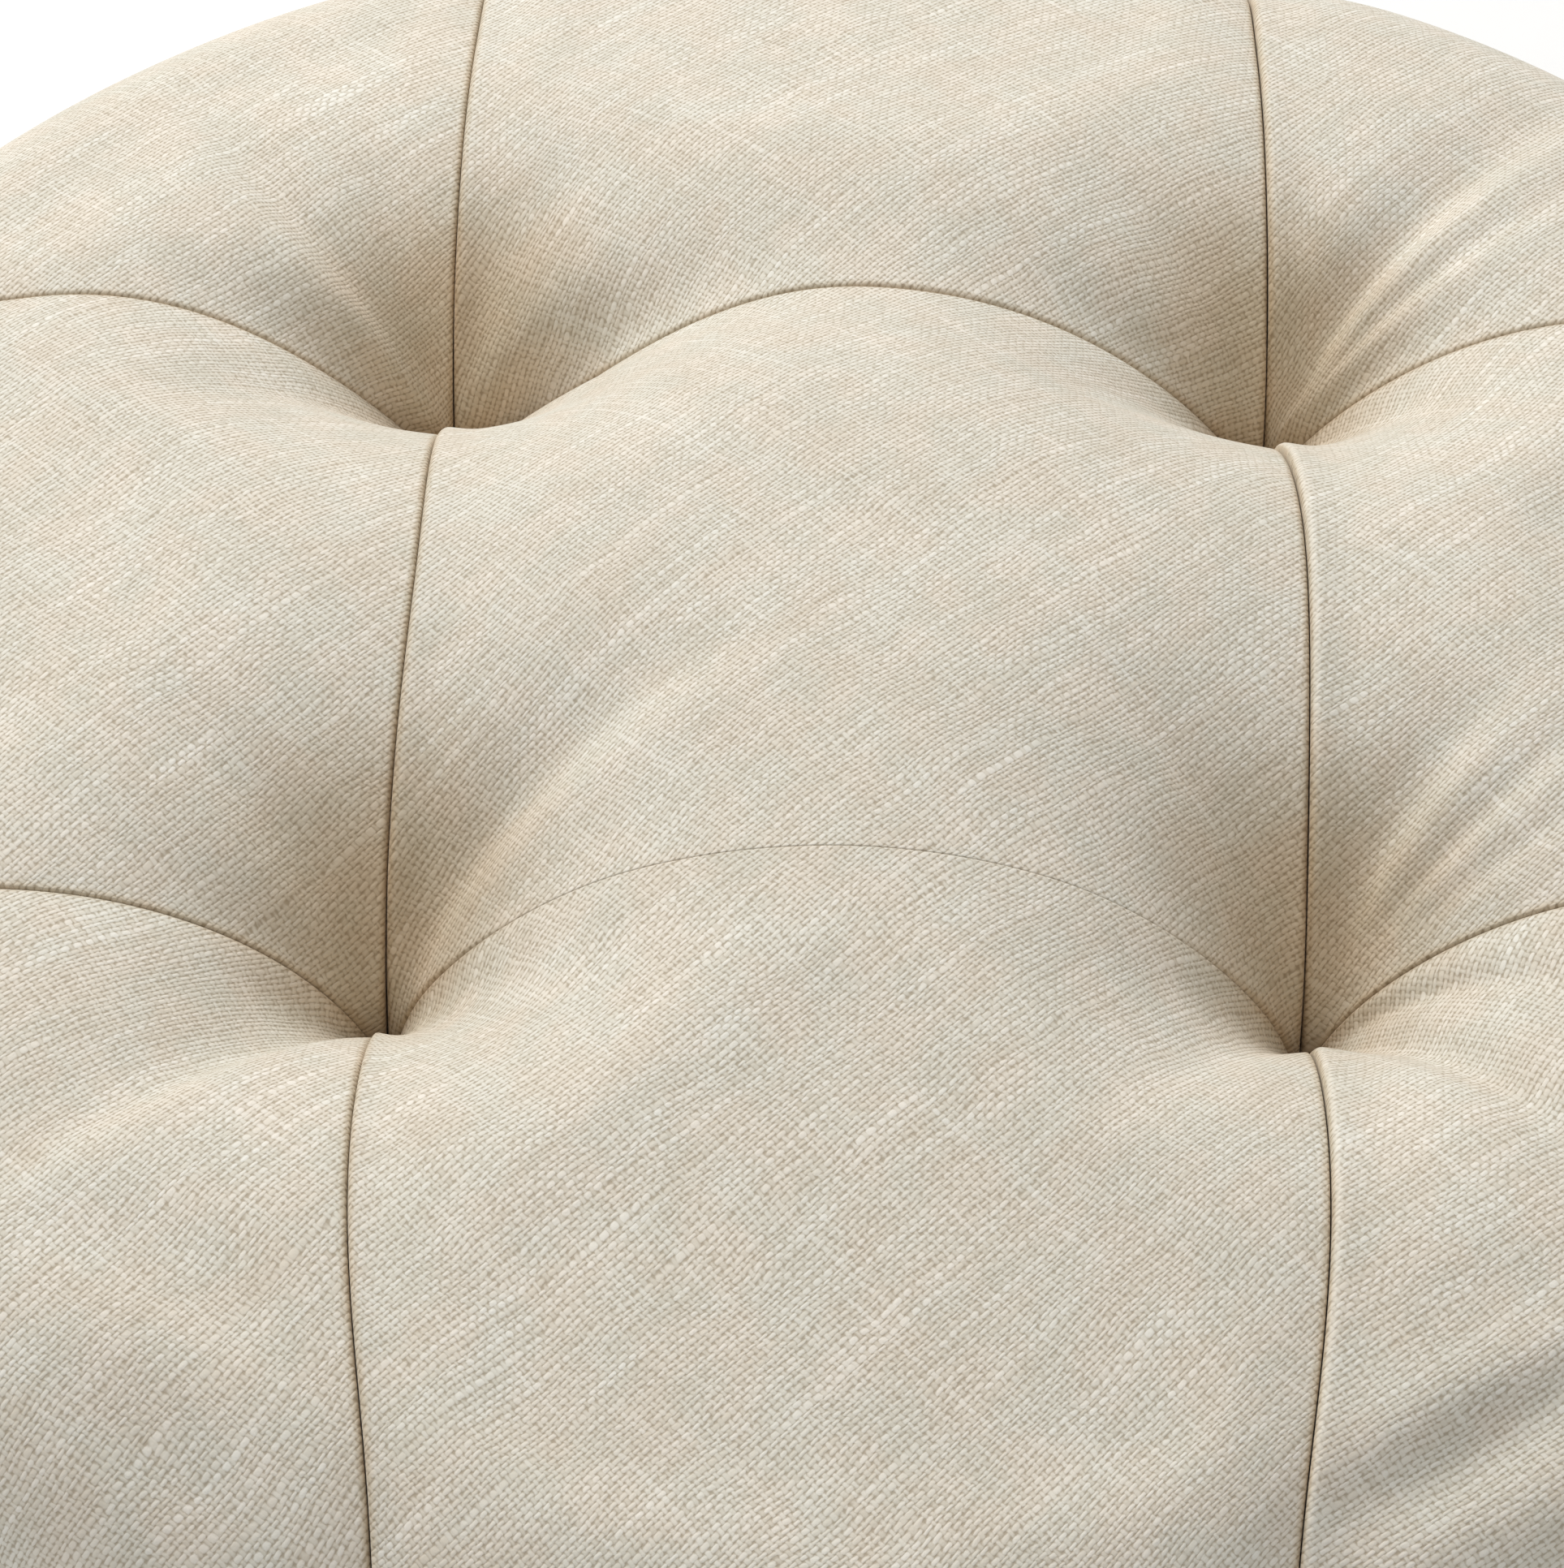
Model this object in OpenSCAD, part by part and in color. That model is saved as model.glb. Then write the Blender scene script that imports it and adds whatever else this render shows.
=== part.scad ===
// Round deep-tufted chair seat pad.
// A sewn cover of nine panels is pulled down at four tufts over batting and foam,
// and stapled under a plywood board with threaded inserts for the chair's screws.
// +Z is up, the front is -Y, and the origin is the centre of the underside.

/* [Pad] */
// Overall diameter
pad_d = 400; // [390:5:420]
// Height from the underside to the top of the crown
pad_h = 86; // [84:1:92]
// Radius of the gently domed top
crown_r = 780; // [700:20:1000]
// Radius of the rounded rim
rim_r = 42; // [40:1:44]

/* [Tufting] */
// Distance between neighbouring tufts, which is the spacing of the seams too
tuft_pitch = 135; // [125:5:140]
// Height of the bottom of each tuft above the underside
tuft_z = 36; // [35:1:40]
// Radius of the rounded fall of the cover into a tuft
dimple_r = 60; // [50:1:62]
// Radius of the closed tip of a tuft
tip_r = 1.5; // [1.5:0.5:2.5]

/* [Cover] */
// Thickness of the woven cover with its backing
cloth_t = 1.2; // [1:0.1:1.4]
// Width of the seam allowance that stands into the batting
seam_allowance = 6; // [5:0.5:6.5]
// Width of the cover's edge that is turned under the board
turn_under = 41; // [36:1:44]
// Thickness of the dust cover cloth
dust_t = 0.6; // [0.5:0.1:0.8]
// Overlap of the dust cover on the turned-under edge
dust_overlap = 22; // [18:1:26]

/* [Padding] */
// Thickness of the batting over the foam
batting_t = 11.8; // [10:0.2:12]
// Diameter of the holes in the foam under the tufts
foam_hole_d = 24; // [20:1:26]

/* [Board] */
// Diameter of the board
board_d = 376; // [370:1:377]
// Thickness of the board
board_t = 12; // [12:0.5:13]
// Diameter of the hole that the twine passes through
twine_hole_d = 9; // [8.5:0.5:11]
// Diameter of the recess that holds a tie-off button
recess_d = 23; // [22:0.5:26]
// Depth of that recess
recess_h = 5; // [5:0.2:6]
// Diameter of an air vent hole
vent_d = 20; // [10:1:24]
// Distance of the outer vent holes from the centre
vent_reach = 112; // [100:1:120]

/* [Threaded inserts] */
// Spacing of the inserts, the same both ways
insert_pitch = 200; // [190:5:205]
// Diameter of the thread's bore, for an M6 screw
thread_d = 5; // [4.9:0.1:5.2]
// Outer diameter of the barrel
barrel_d = 7.9; // [7.5:0.1:8.2]
// Length of the barrel below the flange
barrel_h = 9; // [8:0.5:10]
// Diameter of the flange
flange_d = 19; // [18:0.5:20]
// Thickness of the flange
flange_t = 1.5; // [1.2:0.1:1.8]

/* [Tuft ties] */
// Width of the webbing tab
tab_w = 12; // [10:1:14]
// Thickness of the folded webbing
tab_t = 1.6; // [1.4:0.1:1.8]
// Diameter of the twine
twine_d = 1.8; // [1.6:0.1:2]
// Distance between the two strands of a loop
strand_gap = 5; // [4.8:0.1:5.4]
// Diameter of a tie-off button
button_d = 20; // [18:0.5:21]
// Thickness of a tie-off button
button_t = 2.5; // [2:0.1:2.6]

/* [Staples] */
// Width of a staple's crown
crown_w = 10; // [8:0.5:10]
// Length of a staple's leg
leg_h = 7; // [5:0.5:8]
// Thickness of the staple wire
wire_t = 0.6; // [0.4:0.05:0.6]
// Width of the staple wire
wire_w = 1; // [0.8:0.1:1.2]
// Number of staples that hold the cover
cover_staple_count = 32; // [24:8:40]
// Number of staples that hold the dust cover
dust_staple_count = 28; // [20:4:28]

/* [Hidden] */
$fn = 96;
pad_r = pad_d / 2;
board_r = board_d / 2;
half_pitch = tuft_pitch / 2;
far = pad_d;
gap = 0.05;
linen = "#d8d1c3";
fibre = "#f1efe9";
foam_tint = "#e9e2c4";
plywood = "#c9a878";
zinc = "#b9bcc0";
webbing = "#e4ddcb";
waxed = "#f0ead8";
black_cloth = "#2c2c2e";

// Heights of the layers under the foam
cover_low = dust_t;
board_low = cover_low + cloth_t;
board_top = board_low + board_t;

// Centres of the domed top and of the rim's round
crown_z = pad_h - crown_r;
rim_x = pad_r - rim_r;
rim_z = crown_z + sqrt(pow(crown_r - rim_r, 2) - pow(rim_x, 2));
join_a = atan2(rim_z - crown_z, rim_x);

// A tuft's dimple points at the centre of the domed top
tuft_reach = half_pitch * sqrt(2);
dimple_tilt = atan2(tuft_reach, tuft_z - crown_z);
dimple_rise = 1.5;
dimple_bend = 0.75;
dimple_base = norm([tuft_reach, tuft_z - crown_z]);
dimple_h = sqrt(pow(crown_r, 2) - pow(tip_r + dimple_r, 2)) - dimple_base + dimple_rise;

// Outer radius of the opening that the turned-under edge leaves
cover_edge_r = pad_r - 9 - turn_under;
dust_r = cover_edge_r + dust_overlap;
cover_staple_r = cover_edge_r + 6;
dust_staple_r = dust_r - 7;

// Heights of the parts of a tuft tie
loop_z = 18.5;
eye_d = 4;
eye_z = loop_z + strand_gap / 2 - twine_d / 2 - 0.3 + eye_d / 2;
tab_low = loop_z - 1;
button_top = board_low + recess_h;
knot_h = 2;
knot_low = button_top - button_t - knot_h - gap;
splice = 0.2;

SIDES = [-1, 1];

// Half section of the padded body, drawn a given distance inside its outer surface
function body_section(inset) =
    let (low = cover_low + inset, r = rim_r - inset, low_a = -asin((rim_z - low) / r))
    concat(
        [[0, low]],
        [for (k = [0:12]) let (a = low_a + (join_a - low_a) * k / 12)
            [rim_x + r * cos(a), rim_z + r * sin(a)]],
        [for (k = [1:4]) let (a = join_a + (90 - join_a) * k / 4)
            [(crown_r - inset) * cos(a), crown_z + (crown_r - inset) * sin(a)]]
    );

// Half section of the space above a tuft, a given distance inside the cover
function dimple_section(inset) =
    concat(
        [[0, -inset], [tip_r + inset, -inset]],
        [for (t = [0:0.1:1])
            [tip_r + inset + (dimple_r - inset) * t, (dimple_h - inset) * pow(sin(90 * t), dimple_bend)]],
        [[tip_r + dimple_r, far], [0, far]]
    );

// Moves a child to each tuft
module at_tufts() {
    for (x = SIDES, y = SIDES)
        translate([x * half_pitch, y * half_pitch, 0])
            children();
}

module dimples(inset) {
    for (x = SIDES, y = SIDES)
        translate([x * half_pitch, y * half_pitch, tuft_z])
            rotate([0, 0, atan2(y, x)])
                rotate([0, dimple_tilt, 0])
                    rotate_extrude()
                        polygon(dimple_section(inset));
}

// Tufted body without the cover's thickness: everything within a given distance of its surface is cut off
module body(inset) {
    difference() {
        rotate_extrude()
            polygon(body_section(inset));
        dimples(inset);
    }
}

// Slabs along the four seam lines, as thick as the two cloths that meet there
module seam_slabs() {
    for (s = SIDES) {
        translate([s * half_pitch - cloth_t, -far, 0])
            cube([2 * cloth_t, 2 * far, far]);
        translate([-far, s * half_pitch - cloth_t, 0])
            cube([2 * far, 2 * cloth_t, far]);
    }
}

// Whole sewn cover: a shell, its seam allowances and its turned-under edge
module sewn_cover() {
    difference() {
        body(0);
        difference() {
            body(cloth_t);
            seam_slabs();
        }
        body(cloth_t + seam_allowance);
        translate([0, 0, board_low])
            cylinder(r = board_r, h = board_t);
        translate([0, 0, -1])
            cylinder(r = cover_edge_r, h = board_top);
        staple_ring(cover_staple_count, cover_staple_r, cover_low);
        staple_ring(dust_staple_count, dust_staple_r, 0);
    }
}

// Square cell between the seam lines, counted from the middle one
module seam_cell(column, row) {
    low = [for (c = [column, row]) c == 0 ? -half_pitch : c > 0 ? half_pitch : -far];
    size = [for (c = [column, row]) c == 0 ? tuft_pitch : far - half_pitch];
    translate([low[0], low[1], -1])
        cube([size[0], size[1], far]);
}

module panel(column, row) {
    color(linen)
        intersection() {
            seam_cell(column, row);
            sewn_cover();
        }
}

module batting_wrap() {
    color(fibre)
        difference() {
            body(cloth_t);
            foam_block();
            translate([0, 0, board_low - 1])
                cylinder(r = board_r, h = board_t + 1);
            intersection() {
                seam_slabs();
                difference() {
                    body(0);
                    body(cloth_t + seam_allowance);
                }
            }
            at_tufts()
                translate([-tab_w / 2, -tab_t / 2, board_top])
                    cube([tab_w, tab_t, tuft_z - board_top]);
        }
}

// Foam before its tuft holes are cut
module foam_block() {
    intersection() {
        body(cloth_t + batting_t);
        translate([-far, -far, board_top])
            cube([2 * far, 2 * far, far]);
    }
}

module foam_core() {
    color(foam_tint)
        difference() {
            foam_block();
            at_tufts()
                cylinder(d = foam_hole_d, h = tuft_z);
        }
}

module at_inserts() {
    for (x = SIDES, y = SIDES)
        translate([x * insert_pitch / 2, y * insert_pitch / 2, 0])
            children();
}

// Four prongs that bite into the board around an insert
module insert_prongs() {
    for (a = [45:90:315])
        rotate([0, 0, a])
            translate([flange_d / 2 - 2, -1.5, board_top - flange_t - 5])
                cube([1.2, 3, 5]);
}

module seat_board() {
    color(plywood)
        difference() {
            translate([0, 0, board_low])
                cylinder(r = board_r, h = board_t);
            at_tufts()
                translate([0, 0, board_low - 1]) {
                    cylinder(d = twine_hole_d, h = board_t + 2);
                    cylinder(d = recess_d, h = recess_h + 1);
                }
            at_inserts() {
                cylinder(d = barrel_d + 2 * gap, h = board_top + 1);
                translate([0, 0, board_top - flange_t])
                    cylinder(d = flange_d + 2 * gap, h = flange_t + 1);
                insert_prongs();
            }
            cylinder(d = vent_d, h = board_top + 1);
            for (a = [0:90:270])
                rotate([0, 0, a])
                    translate([vent_reach, 0, 0])
                        cylinder(d = vent_d, h = board_top + 1);
            staple_ring(cover_staple_count, cover_staple_r, cover_low);
            staple_ring(dust_staple_count, dust_staple_r, 0);
        }
}

module threaded_inserts() {
    color(zinc)
        at_inserts() {
            difference() {
                union() {
                    translate([0, 0, board_top - flange_t])
                        cylinder(d = flange_d, h = flange_t);
                    translate([0, 0, board_top - flange_t - barrel_h])
                        cylinder(d = barrel_d, h = barrel_h);
                }
                cylinder(d = thread_d, h = board_top + 1);
            }
            insert_prongs();
        }
}

// Webbing tab at one tuft, with the eye that its twine passes through
module tab(x, y) {
    color(webbing)
        intersection() {
            body(cloth_t + seam_allowance);
            translate([x * half_pitch, y * half_pitch, 0])
                difference() {
                    translate([-tab_w / 2, -tab_t / 2, tab_low])
                        cube([tab_w, tab_t, tuft_z - tab_low]);
                    translate([0, 0, eye_z])
                        rotate([90, 0, 0])
                            cylinder(d = eye_d, h = 2 * tab_t, center = true);
                }
        }
}

// Loop of twine at one tuft: two strands joined through the tab and knotted under the button
module twine(x, y) {
    color(waxed)
        translate([x * half_pitch, y * half_pitch, 0]) {
            for (s = SIDES)
                translate([0, s * strand_gap / 2, knot_low + knot_h / 2])
                    cylinder(d = twine_d - 2 * gap, h = loop_z + splice - knot_low - knot_h / 2);
            translate([0, 0, loop_z])
                rotate([90, 0, 90])
                    rotate_extrude(angle = 180)
                        translate([strand_gap / 2, 0])
                            circle(d = twine_d);
            translate([0, 0, knot_low])
                cylinder(d = strand_gap + 2 * twine_d, h = knot_h);
        }
}

// Flat two-hole button that the twine is tied over, in the board's recess
module button(x, y) {
    color(webbing)
        translate([x * half_pitch, y * half_pitch, button_top - button_t])
            difference() {
                cylinder(d = button_d, h = button_t);
                for (s = SIDES)
                    translate([0, s * strand_gap / 2, -1])
                        cylinder(d = twine_d + 4 * gap, h = button_t + 2);
            }
}

// One staple, crown down, with its two legs driven upwards
module staple() {
    translate([-crown_w / 2, -wire_w / 2, 0]) {
        cube([crown_w, wire_w, wire_t]);
        for (x = [0, crown_w - wire_t])
            translate([x, 0, 0])
                cube([wire_t, wire_w, leg_h]);
    }
}

module staple_ring(count, reach, low) {
    for (k = [0:count - 1])
        rotate([0, 0, (k + 0.5) * 360 / count])
            translate([0, -reach, low])
                staple();
}

module cover_staples() {
    color(zinc)
        staple_ring(cover_staple_count, cover_staple_r, cover_low);
}

module dust_cover_staples() {
    color(zinc)
        staple_ring(dust_staple_count, dust_staple_r, 0);
}

// Thin cloth over the underside, with a hole under each threaded insert
module dust_cover() {
    color(black_cloth)
        difference() {
            cylinder(r = dust_r, h = dust_t);
            at_inserts()
                translate([0, 0, -1])
                    cylinder(d = barrel_d + 4, h = dust_t + 2);
            staple_ring(dust_staple_count, dust_staple_r, 0);
        }
}

panel(0, 0);  // centre_panel
panel(0, -1);  // front_panel
panel(0, 1);  // back_panel
panel(-1, 0);  // left_panel
panel(1, 0);  // right_panel
panel(-1, -1);  // front_left_panel
panel(1, -1);  // front_right_panel
panel(-1, 1);  // back_left_panel
panel(1, 1);  // back_right_panel
batting_wrap();
foam_core();
seat_board();
threaded_inserts();
tab(-1, -1);  // front_left_tab
tab(1, -1);  // front_right_tab
tab(-1, 1);  // back_left_tab
tab(1, 1);  // back_right_tab
twine(-1, -1);  // front_left_twine
twine(1, -1);  // front_right_twine
twine(-1, 1);  // back_left_twine
twine(1, 1);  // back_right_twine
button(-1, -1);  // front_left_button
button(1, -1);  // front_right_button
button(-1, 1);  // back_left_button
button(1, 1);  // back_right_button
cover_staples();
dust_cover();
dust_cover_staples();
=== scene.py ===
import math

import bpy
import numpy as np
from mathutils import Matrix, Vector
from mathutils.geometry import delaunay_2d_cdt


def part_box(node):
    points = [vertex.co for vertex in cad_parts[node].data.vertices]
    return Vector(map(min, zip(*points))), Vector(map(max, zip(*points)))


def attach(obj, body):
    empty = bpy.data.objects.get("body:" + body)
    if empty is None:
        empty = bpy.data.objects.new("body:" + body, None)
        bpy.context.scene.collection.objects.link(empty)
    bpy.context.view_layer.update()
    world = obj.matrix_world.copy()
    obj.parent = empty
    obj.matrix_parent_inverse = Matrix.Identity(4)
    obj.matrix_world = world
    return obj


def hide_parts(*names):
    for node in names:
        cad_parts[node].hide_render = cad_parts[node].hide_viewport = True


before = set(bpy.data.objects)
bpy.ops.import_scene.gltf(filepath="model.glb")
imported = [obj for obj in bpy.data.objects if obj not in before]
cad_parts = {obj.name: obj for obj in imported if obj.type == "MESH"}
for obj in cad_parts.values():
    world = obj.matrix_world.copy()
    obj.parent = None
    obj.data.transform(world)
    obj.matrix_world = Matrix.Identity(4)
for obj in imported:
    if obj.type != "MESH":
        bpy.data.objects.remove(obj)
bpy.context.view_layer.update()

MM = 0.001

# Driving dimensions: the first four are read from the frame, the others are set here
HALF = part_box("centre_panel")[1].x          # half the spacing of the tufts and seams
PAD_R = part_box("right_panel")[1].x          # outer radius of the pad
PAD_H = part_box("centre_panel")[1].z         # top of the crown
CLOTH_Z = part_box("dust_cover")[1].z         # underside of the turned-under cover
CROWN_R = 780 * MM                          # radius of the domed top
RIM_R = 42 * MM                             # radius of the rounded rim
TURN_R = 2.5 * MM                           # radius of the turn from the rim to the underside
TURN_START = -0.6                           # angle at which that turn starts, in radians
CUT_R = 150 * MM                            # radius of the cover's cut edge, under the board
TUFT_Z = 36 * MM                            # bottom of each tuft


# -------------------- base surface

def body_section():
    """Half section (r, z) of the padded body: over the top, round the rim and in under the board."""
    crown_z = PAD_H - CROWN_R
    rim_x = PAD_R - RIM_R
    rim_z = crown_z + math.sqrt((CROWN_R - RIM_R) ** 2 - rim_x ** 2)
    join = math.atan2(rim_z - crown_z, rim_x)
    low = -math.asin((rim_z - CLOTH_Z - TURN_R) / RIM_R)
    crown = np.linspace(math.pi / 2, join, 500)
    rim = np.linspace(join, low, 300)[1:]
    under = np.linspace(0, 1, 160)[1:]
    turn = np.linspace(TURN_START, -math.pi / 2, 20)
    turn_r = rim_x + RIM_R * math.cos(low) - TURN_R * math.cos(TURN_START) + TURN_R * np.cos(turn)
    turn_z = CLOTH_Z + TURN_R + TURN_R * np.sin(turn)
    r = np.concatenate([CROWN_R * np.cos(crown), rim_x + RIM_R * np.cos(rim), turn_r,
                        turn_r[-1] + (CUT_R - turn_r[-1]) * under])
    z = np.concatenate([crown_z + CROWN_R * np.sin(crown), rim_z + RIM_R * np.sin(rim), turn_z,
                        np.full(under.shape, CLOTH_Z)])
    return r, z


SECTION_R, SECTION_Z = body_section()
SECTION_K = np.arange(len(SECTION_R), dtype=float)
WIDEST = int(np.argmax(SECTION_R))
LEAN = np.arctan2(-np.gradient(SECTION_Z), np.gradient(SECTION_R))   # 0 on top, half pi at the widest
LEAN = np.maximum.accumulate(np.clip(LEAN, 0, math.pi))

COVER_STAPLES = 32       # round the turned-under cover
GATHER = 0.9 * MM        # how far the cover stands out between them

# How far the padding swells out beyond the base surface between the seams, by how far it leans over
SWELL = np.interp(LEAN, np.radians([0, 12, 45, 90, 125, 150]), np.array([1.5, 2.5, 5.5, 5.0, 1.5, 0]) * MM)

# How much lower than the domed top the middle of each seam lies, between its two tufts
SEAM_DIP = {"back": 6.5 * MM, "front": 0.5 * MM, "left": 3 * MM, "right": 3 * MM}
DIP_WIDTH = 26 * MM          # how far to each side that dip reaches
SEAM_WIDTH = 9 * MM          # how quickly the padding swells beside a seam

# How steeply the cover climbs out of a tuft (1 is a plain sine, less is steeper)
PUFF_POWER = 0.42              # between the seams
COLUMN_POWER = 0.48            # on the two seams that run from front to back
NEAR_POWER = (0.76, 0.64)      # at the back and front tufts, on the side that faces the front of the pad
# On the two seams that run across, at the back left, back right, front left and front right tuft
INNER_ROW_POWER = (0.95, 0.66, 0.42, 0.42)     # towards the middle of the pad
OUTER_ROW_POWER = (0.76, 0.62, 0.52, 0.46)     # towards the rim
MOUTH = (7.0 * MM, 7.0 * MM, 3.5 * MM, 6.0 * MM)    # how far its flat bottom reaches to each side
SEAM_SPREAD = 0.3        # how far to each side of a seam its own steepness holds, by the distance run

# Soft valleys that run out of a tuft: tuft signs, heading and final heading in degrees, length, depth,
# and the widths of its left and right banks in mm, as seen along its heading
FOLDS = (
    (-1, 1, 118, 112, 48, 3.6, 7, 10), (-1, 1, 146, 128, 76, 4.6, 5, 8), (-1, 1, 72, 54, 54, 2.4, 16, 10),
    (-1, 1, 212, 218, 62, 2.4, 9, 14), (-1, 1, 318, 312, 50, 1.2, 12, 12),
    (1, 1, 46, 50, 92, 6.4, 14, 6), (1, 1, 26, 36, 70, 3.2, 6, 4), (1, 1, 122, 134, 46, 3.8, 7, 12),
    (1, 1, 226, 212, 52, 2.0, 8, 11), (1, 1, 330, 322, 44, 1.2, 9, 9),
    (-1, -1, 48, 38, 74, 6.4, 19, 7), (-1, -1, 126, 136, 48, 3.6, 8, 13),
    (-1, -1, 238, 222, 86, 5.8, 7, 19), (-1, -1, 305, 312, 46, 0.9, 10, 10),
    (1, -1, 120, 130, 54, 4.8, 6, 13), (1, -1, 62, 53, 58, 5.8, 13, 5), (1, -1, 34, 40, 60, 3.2, 5, 3),
    (1, -1, 17, 24, 52, 2.6, 4, 2.5), (1, -1, 343, 336, 48, 2.8, 3, 4), (1, -1, 240, 230, 62, 3.0, 9, 13),
    (1, -1, 312, 306, 94, 4.4, 7, 9),
)

# Soft creases near the front rim, away from the tufts: plan ends in mm, depth, and the widths of the
# left and right banks
CREASES = ((54, -181, 114, -136, 4.6, 3.0, 7), (-106, -146, -72, -188, 4.0, 8, 8))
CREASE_BEND = 1.5        # how far the middle of a crease bows to its left, in mm

# Where the sewn cover lies off its drawn lines: plan place in mm, drift in x and y in mm, and its reach
DRIFTS = (
    (-68, -186, 8.5, 0, 45), (68, -186, -7.0, 0, 42), (116, -68, 0, 5.5, 36),
    (-68, 0, 1.6, 0, 38), (68, 0, 1.2, 0, 38),
)


def smooth(t):
    """A soft step from 0 to 1."""
    t = np.clip(t, 0, 1)
    return t * t * (3 - 2 * t)


def by_quadrant(x, y, values):
    """The one of four values, back left, back right, front left and front right, that holds at a place."""
    return np.where(y > 0, np.where(x < 0, values[0], values[1]), np.where(x < 0, values[2], values[3]))


def drifted(points):
    """Moves points of the pad's top and sides by the drifts; the underside stays."""
    out = points.copy()
    hold = smooth((points[..., 2] / MM - 8) / 30)
    for x0, y0, ux, uy, reach in DRIFTS:
        far = ((points[..., 0] / MM - x0) ** 2 + (points[..., 1] / MM - y0) ** 2) / reach ** 2
        share = np.exp(-far) * hold * MM
        out[..., 0] += ux * share
        out[..., 1] += uy * share
    return out


def folded(x, y):
    """How much the valleys push a point of the top down."""
    push = np.zeros(np.shape(x))
    for sx, sy, heading, final, length, depth, left, right in FOLDS:
        dx, dy = x / MM - sx * HALF / MM, y / MM - sy * HALF / MM
        run = np.hypot(dx, dy)
        t = np.clip(run / (1.15 * length), 0, 1)
        off = np.arctan2(dy, dx) - np.radians(heading + (final - heading) * t)
        off = np.arctan2(np.sin(off), np.cos(off))
        bank = np.where(off > 0, left, right) * (0.3 + 0.7 * t)
        side = run * np.sin(np.minimum(np.abs(off), 0.5 * math.pi)) / bank
        profile = np.where(np.abs(off) < 0.5 * math.pi, np.exp(-side ** 2), 0)
        push -= depth * np.clip(run / 6, 0, 1) * (1 - t) ** 2 * (1 + 2 * t) * profile
    for x0, y0, x1, y1, depth, left, right in CREASES:
        length = math.hypot(x1 - x0, y1 - y0)
        ux, uy = (x1 - x0) / length, (y1 - y0) / length
        t = np.clip(((x / MM - x0) * ux + (y / MM - y0) * uy) / length, 0, 1)
        side = (y / MM - y0) * ux - (x / MM - x0) * uy
        bend = CREASE_BEND * np.sin(math.pi * t)
        bank = np.where(side > bend, left, right)
        push -= depth * np.sin(math.pi * t) ** 1.5 * np.exp(-((side - bend) / bank) ** 2)
    return push * MM


def seam_valley(x, y, front_hides=0.92):
    """From 0 on a seam to 1 away from every seam; the front seam hardly shows between its tufts."""
    away = np.ones(np.shape(x))
    middle_x = 1 - smooth((np.abs(x) / MM - 30) / 30)
    front = 1.0 - front_hides * middle_x
    for across, hold in ((np.abs(x) - HALF, 1.0), (y - HALF, 1.0), (y + HALF, front)):
        away = away * (1 - hold * np.exp(-np.abs(across) / SEAM_WIDTH))
    return away


def lowered(x, y, z):
    """The height of a point of the domed top once the tufts and the seams have pulled it down."""
    dx, dy = np.abs(x) - HALF, np.abs(y) - HALF
    nearer = np.where(y > 0, -dy, dy) / np.maximum(np.hypot(dx, dy), 1e-9)
    near = smooth(np.where((y > 0) | ((x < 0) & (dx > 0)), 0.5, 0.2) + 0.9 * nearer)
    wide = by_quadrant(x, y, MOUTH)
    dx = dx * np.abs(dx) / (np.abs(dx) + wide) * (1 + wide / HALF)
    reach = np.hypot(dx, dy)
    along_row = np.exp(-(dy / (SEAM_SPREAD * np.maximum(reach, 1e-9))) ** 2)
    along_column = np.exp(-(dx / (SEAM_SPREAD * np.maximum(reach, 1e-9))) ** 2)
    row = np.where(dx > 0, by_quadrant(x, y, OUTER_ROW_POWER), by_quadrant(x, y, INNER_ROW_POWER))
    near_power = np.where(y > 0, *NEAR_POWER)
    puff = PUFF_POWER + near * (near_power - PUFF_POWER)
    column = COLUMN_POWER + near * (near_power - COLUMN_POWER)
    power = puff + along_row * (row - puff) + along_column * (column - puff)
    fall = np.sin(0.5 * math.pi * np.clip(reach / HALF, 0, 1)) ** power
    z = TUFT_Z + (z - TUFT_Z) * fall
    for side, across, along in (("back", y - HALF, x), ("front", y + HALF, x),
                                ("left", x + HALF, y), ("right", x - HALF, y)):
        middle = np.cos(0.5 * math.pi * np.clip(along / HALF, -1, 1)) ** 2
        z = z - SEAM_DIP[side] * middle * np.exp(-(across / DIP_WIDTH) ** 2)
    return z


def spin(points, quarter_turns):
    """Turns points, in the plan or in space, by quarter turns about Z."""
    a = quarter_turns * math.pi / 2
    c, s = round(math.cos(a)), round(math.sin(a))
    out = points.copy()
    out[..., 0] = c * points[..., 0] - s * points[..., 1]
    out[..., 1] = s * points[..., 0] + c * points[..., 1]
    return out


def by_length(line, count):
    """Resamples a polyline to count points at even steps of its own length. Returns them and its length."""
    step = np.linalg.norm(np.diff(line, axis=0), axis=1)
    run = np.concatenate([[0], np.cumsum(step)])
    at = np.linspace(0, run[-1], count)
    return np.stack([np.interp(at, run, line[:, k]) for k in range(3)], -1), run[-1]


def section_place(r):
    """Where along the section a radius of the domed top lies."""
    return np.interp(r, SECTION_R[:WIDEST], SECTION_K[:WIDEST])


def gathered(angle, lean, r):
    """How far the cloth stands out between the staples, low on the sides and under the rim."""
    low = np.interp(lean, np.radians([85, 120, 140, 158, 180]), [0, 1, 0.8, 0.25, 0.25])
    low = np.where(lean > math.radians(158), low * np.clip((r - 173 * MM) / (4 * MM), 0, 1), low)
    pull = np.cos(COVER_STAPLES * angle) * 0.5 + 0.3 * np.sin(21 * angle + 1.3 * np.sin(5 * angle))
    return GATHER * low * (pull + 0.2 * np.sin(53 * angle + 0.7))


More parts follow.
